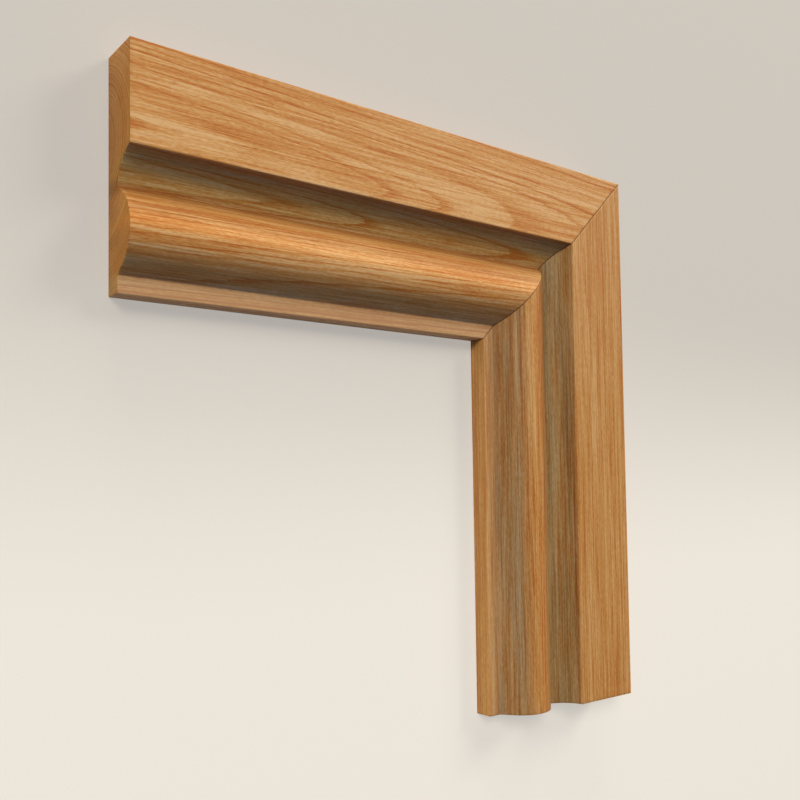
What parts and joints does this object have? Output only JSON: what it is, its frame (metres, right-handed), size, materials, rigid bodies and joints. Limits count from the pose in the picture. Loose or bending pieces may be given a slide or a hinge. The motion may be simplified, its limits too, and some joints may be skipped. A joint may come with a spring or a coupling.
{
  "type": "architrave moulding",
  "caption": "Mitred corner of a solid oak architrave moulding with a flat band, a hollow cove, a rounded torus and a thin inner fillet, to trim the joint of wall and door lining.",
  "frame": {"origin": "on the plane of the flat back, in the middle of the bounding box", "axes": "+Z out of the moulded face, away from the wall; the head runs along X with its mitre at +X, and the leg runs along Y with its mitre at +Y"},
  "size_m": [0.282, 0.282, 0.022],
  "materials": {
    "head_oak": "planed, clear satin",
    "leg_oak": "planed, clear satin"
  },
  "bodies": {
    "root": {"head_piece": "head_oak", "leg_piece": "leg_oak"}
  },
  "joints": []
}
